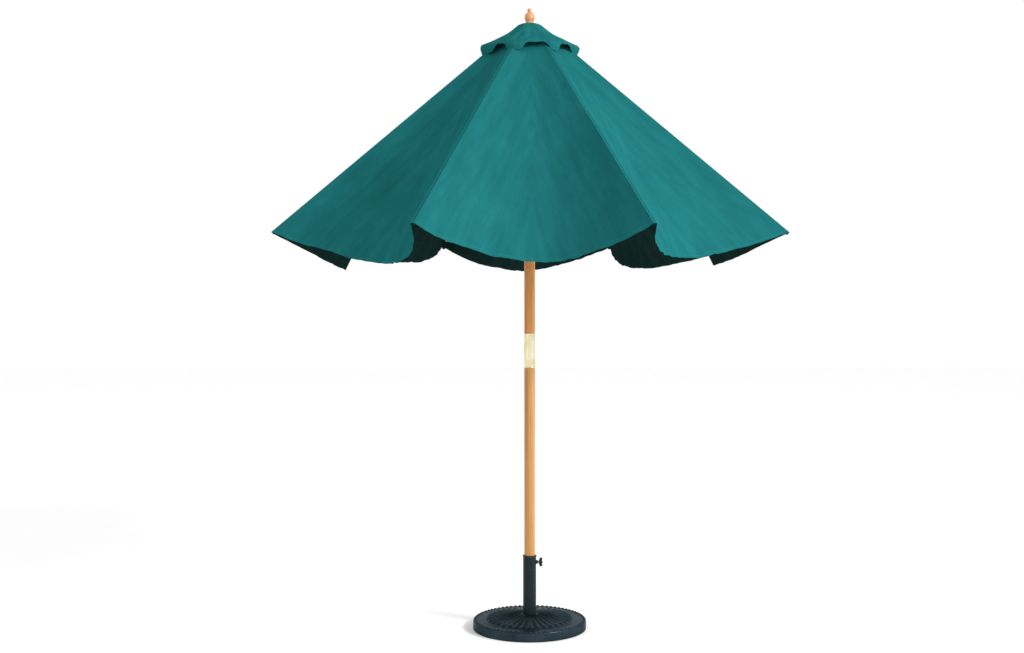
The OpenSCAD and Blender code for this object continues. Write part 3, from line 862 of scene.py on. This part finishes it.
def sewCap():
    columns = cap["columns"]
    rows = (len(cap["outlineLobe"]) - 1) * cap["steps"]
    points = []
    for i in range(-1, rows + 1):
        for c in range(columns):
            azimuth = 2 * math.pi * c / columns
            share = lobeShare(azimuth)
            regular = (1 + math.cos(ribCount * (azimuth - ribStep / 2))) / 2
            s = max(i, 0) / rows
            rim = easeIn((s - 0.55) / 0.3)
            blend = regular * (1 - rim) + share * rim
            front = curveThrough(cap["outlineRound"], s)
            lobe = front.lerp(curveThrough(cap["outlineLobe"], s), math.cos(azimuth) ** 2)
            place = lobe * blend + curveThrough(cap["outlineNotch"], s) * (1 - blend)
            r, depth = place
            if i < 0:
                r, depth = cap["holeRadius"], 0.0
            wave = noise.noise(Vector((azimuth * 5.5, s * 2, 4.4)))
            wave += 0.5 * noise.noise(Vector((azimuth * 11, s * 4, 7.7)))
            lift = cap["foldDepth"] * (wave - 0.15) * easeIn((s - 0.12) / 0.3) * 1.5
            flutter = 0.004 * noise.noise(Vector((azimuth * 14, 0.5, 2.1))) * rim
            height = capTop - depth + lift * 0.8
            points.append(unitAt(azimuth) * (r + lift * 0.5 + flutter) + Vector((0, 0, height)))
    faces = []
    for i in range(rows + 1):
        for c in range(columns):
            d = (c + 1) % columns
            faces.append((i * columns + c, (i + 1) * columns + c, (i + 1) * columns + d, i * columns + d))
    whole = meshPiece("capSheet", points, faces)
    layer = whole.data.uv_layers.new(name="cloth")
    for loop in whole.data.loops:
        i, c = divmod(loop.vertex_index, columns)
        azimuth = 2 * math.pi * c / columns
        turn = (azimuth % ribStep) - ribStep / 2
        r = points[loop.vertex_index].xy.length
        layer.data[loop.index].uv = (0.012 + abs(turn) * r, (rows + 1 - i) * 0.0075)
    smooth = whole.modifiers.new("smooth", "SUBSURF")
    smooth.levels = 1
    petals = whole.data.attributes.new("petal", "INT", "FACE")
    for face in whole.data.polygons:
        petals.data[face.index].value = (face.index % columns) * ribCount // columns
    applyModifiers(whole)
    return whole


whole = sewCap()
petalOf = [item.value for item in whole.data.attributes["petal"].data]
plain = [0] * len(whole.data.polygons)
corners = cornerNormals(whole, plain)
for rib in range(ribCount):
    # the petal's underside gets the cloth with painted shade
    piece, area = clothPiece(f"cap_petal_{rib + 1}", whole, lambda face: petalOf[face] == rib,
                             cap["thickness"], clothUnderPaintedShade, plain, corners)
    out = unitAt((rib + 0.5) * ribStep)
    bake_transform(piece)
    if rib == 0:
        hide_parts("vent_cap")
bpy.data.objects.remove(whole)
print("vent cap sewn")


base = {
    "columns": 216,
    "ridges": 36,
    "ridgeInner": 0.037,
    "ridgeOuter": 0.171,
    "ridgeHeight": 0.0048,
    "ridgeRows": 16,
    "beads": 72,
    "beadRing": 0.2160,
    "beadRadius": 0.0045,
}
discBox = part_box("base_disc")
discR = discBox[1][0]
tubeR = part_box("base_tube")[1][0]


def discOutline():
    # the casting's cross section, from the bore over the top and the rim to the hollow underside
    top = [(tubeR + 0.0002, 0.0584), (tubeR + 0.0022, 0.0580), (tubeR + 0.0052, 0.0570),
           (tubeR + 0.0085, 0.0558)]
    for k in range(base["ridgeRows"]):
        r = base["ridgeInner"] + (base["ridgeOuter"] - base["ridgeInner"]) * k / (base["ridgeRows"] - 1)
        top.append((r, 0.0552 - 0.0165 * easeIn((r - 0.03) / 0.16)))
    rim = [(0.1735, 0.0366), (0.178, 0.0378), (0.182, 0.0382), (0.186, 0.0370), (0.206, 0.0366),
           (discR - 0.0045, 0.0366), (discR - 0.0015, 0.0352), (discR, 0.0320), (discR, 0.0120),
           (discR, 0.0012), (discR - 0.0008, 0)]
    under = [(discR - 0.0080, 0), (discR - 0.0082, 0.0240), (discR - 0.0110, 0.0280), (0.171, 0.0285),
             (0.0370, 0.0450), (0.0350, 0.0140), (tubeR + 0.0002, 0.0140)]
    return top + rim + under


def castDisc():
    outline = discOutline()
    disc = turned("base_casting", outline + outline[:1], base["columns"])
    bpy.ops.object.mode_set(mode="EDIT")
    step = 2 * math.pi / base["ridges"]

    def onRidge(place, width):
        r = place.xy.length
        if not base["ridgeInner"] - 0.001 < r < base["ridgeOuter"] + 0.001 or place.z < 0.038:
            return False
        off = abs((math.atan2(place.y, place.x) + step / 2) % step - step / 2)
        return off < width * step
    for width, share in ((0.02, 0.3), (0.19, 0.35), (0.36, 0.35)):
        pickVerts(disc, lambda place: onRidge(place, width))
        bpy.ops.transform.translate(value=(0, 0, base["ridgeHeight"] * share))
    # a ridge swells near its outer end
    near, far = base["ridgeOuter"] - 0.026, base["ridgeOuter"] - 0.004
    pickVerts(disc, lambda place: onRidge(place, 0.36) and near < place.xy.length < far)
    bpy.ops.transform.translate(value=(0, 0, base["ridgeHeight"] * 0.4))
    bpy.ops.object.mode_set(mode="OBJECT")
    soft = disc.modifiers.new("soft", "SUBSURF")
    soft.levels = 1
    applyModifiers(disc)
    return disc


def discBeads(disc):
    clearAll()
    bpy.ops.mesh.primitive_uv_sphere_add(segments=12, ring_count=8, radius=base["beadRadius"],
                                         location=(base["beadRing"], 0, 0.0362))
    bead = startPiece("bead")
    bead.scale = (0.95, 1.35, 0.85)
    applyPlace(bead)
    copies = []
    for k in range(base["beads"]):
        copy = bead.copy()
        copy.data = bead.data.copy()
        scene.collection.objects.link(copy)
        copy.data.transform(Matrix.Rotation(2 * math.pi * k / base["beads"], 4, "Z"))
        copies.append(copy)
    bpy.data.objects.remove(bead)
    useOnly(disc)
    for copy in copies:
        copy.select_set(True)
    bpy.ops.object.join()


disc = castDisc()
discBeads(disc)
smoothBy(disc, 50)
setMaterial(disc, iron)
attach(disc, "base")
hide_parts("base_disc")
print("base disc made")


knob = {
    "hubRadius": 0.0082,
    "lobeRadius": 0.0063,
    "lobeReach": 0.0120,
    "webRadius": 0.0068,
    "webReach": 0.0066,
    "neckRadius": 0.0055,
    "neckDepth": 0.006,
}


def wingKnob():
    low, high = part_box("clamp_knob")
    middle = (Vector(low) + Vector(high)) / 2
    clearAll()
    bpy.ops.mesh.primitive_uv_sphere_add(segments=32, ring_count=16, radius=knob["hubRadius"],
                                         location=(low[0] + 0.0078, middle.y, middle.z))
    hub = startPiece("knob_hub")
    hub.scale = (1.15, 0.95, 1.15)
    parts = [hub]
    for side in (-1, 1):
        place = (high[0] - 0.0052, middle.y, middle.z + side * knob["lobeReach"])
        bpy.ops.mesh.primitive_uv_sphere_add(segments=32, ring_count=16, radius=knob["lobeRadius"],
                                             location=place)
        lobe = startPiece("knob_lobe")
        lobe.scale = (1.0, 0.72, 1.0)
        place = (high[0] - 0.0068, middle.y, middle.z + side * knob["webReach"])
        bpy.ops.mesh.primitive_uv_sphere_add(segments=32, ring_count=16, radius=knob["webRadius"],
                                             location=place)
        web = startPiece("knob_web")
        web.scale = (0.95, 0.62, 1.3)
        parts += [lobe, web]
    bpy.ops.mesh.primitive_cylinder_add(
        vertices=32, radius=knob["neckRadius"], depth=knob["neckDepth"],
        location=(low[0] + knob["neckDepth"] / 2, middle.y, middle.z), rotation=(0, math.pi / 2, 0))
    parts.append(startPiece("knob_neck"))
    for part in parts:
        applyPlace(part)
    useOnly(parts[0])
    for part in parts[1:]:
        part.select_set(True)
    bpy.ops.object.join()
    whole = bpy.context.object
    whole.name = "wing_knob"
    blend = whole.modifiers.new("blend", "REMESH")
    blend.mode = "VOXEL"
    blend.voxel_size = 0.0005
    relax = whole.modifiers.new("relax", "SMOOTH")
    relax.factor = 0.6
    relax.iterations = 5
    applyModifiers(whole)
    useOnly(whole)
    bpy.ops.object.shade_smooth()
    setMaterial(whole, plastic)
    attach(whole, "clamp_wing")
    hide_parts("clamp_knob")


wingKnob()
print("knob made")


finial = {
    # radius and height from its foot, turned in one piece
    "outline": [(0, 0), (0.0177, 0), (0.0183, 0.0012), (0.0183, 0.0038), (0.0168, 0.0052), (0.0150, 0.0070),
                (0.0145, 0.0088), (0.0151, 0.0104), (0.0171, 0.0130), (0.0187, 0.0168), (0.0197, 0.0215),
                (0.0200, 0.0262), (0.0195, 0.0312), (0.0179, 0.0360), (0.0152, 0.0402), (0.0117, 0.0434),
                (0.0090, 0.0456), (0.0080, 0.0475), (0.0084, 0.0495), (0.0090, 0.0525), (0.0089, 0.0560),
                (0.0078, 0.0588), (0.0056, 0.0607), (0.0027, 0.0614), (0, 0.0615)],
}
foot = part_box("finial")[0][2]
top = turned("turned_finial", [(r, foot + z) for r, z in finial["outline"]], 64)
smoothBy(top, 40)
setMaterial(top, wood("finial wood", pale=(0.53, 0.255, 0.105), dark=(0.37, 0.155, 0.05)))
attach(top, "upper_pole")
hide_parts("finial")
print("finial turned")

rims = {
    "thick": 0.0013,
    "inFromEnd": 0.0016,
}
low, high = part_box("ferrule")
rimHeights = {
    "ferrule_rim_low": low[2] + rims["inFromEnd"],
    "ferrule_rim_high": high[2] - rims["inFromEnd"],
}
for name, z in rimHeights.items():
    clearAll()
    bpy.ops.mesh.primitive_torus_add(major_radius=high[0] - 0.0003, minor_radius=rims["thick"],
                                     major_segments=64, minor_segments=16, location=(0, 0, z))
    ring = startPiece(name)
    ring.scale = (1, 1, 1.25)
    applyPlace(ring)
    smoothBy(ring, 60)
    setMaterial(ring, brass)
    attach(ring, "lower_pole")
print("ferrule rims rolled")


finishes = {
    "base_tube": enamel, "tube_plug": zinc, "base_bolt": zinc, "base_washer": zinc,
    "screw_nut": enamel, "pole_sleeve": plastic, "pole_foot": plastic, "clamp_screw": zinc,
    # the upper pole takes the pole wood lightened with painted light
    "lower_pole": poleWood, "upper_pole": upperWoodPaintedLight, "ferrule": brass,
    "ferrule_screws": brass, "crown": poleWood, "crown_pins": brass, "crown_screw": brass,
    "finial_stud": zinc, "top_washer": brass, "runner": poleWood,
    "screw_eye": brass, "lock_pin": brass,
}
for name, material in finishes.items():
    setMaterial(nodes[name], material)
for rib in range(1, ribCount + 1):
    azimuth = (rib - 0.5) * ribStep
    out = unitAt(azimuth)
    alongRib = out * math.cos(slope) - Vector((0, 0, math.sin(slope)))
    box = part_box(f"strut_{rib}")
    middle = (Vector(box[0]) + Vector(box[1])) / 2
    spread = joints[f"strut_{rib}_swing"]["pos_m"]
    alongStrut = Vector(spread) - middle
    for name, along in ((f"rib_{rib}", alongRib), (f"strut_{rib}", alongStrut)):
        turn = tuple(along.to_track_quat("Z", "Y").to_euler())
        setMaterial(nodes[name], wood(f"{name} wood", turn))
    setMaterial(nodes[f"rib_bracket_{rib}"], brass)
print("finishes set")
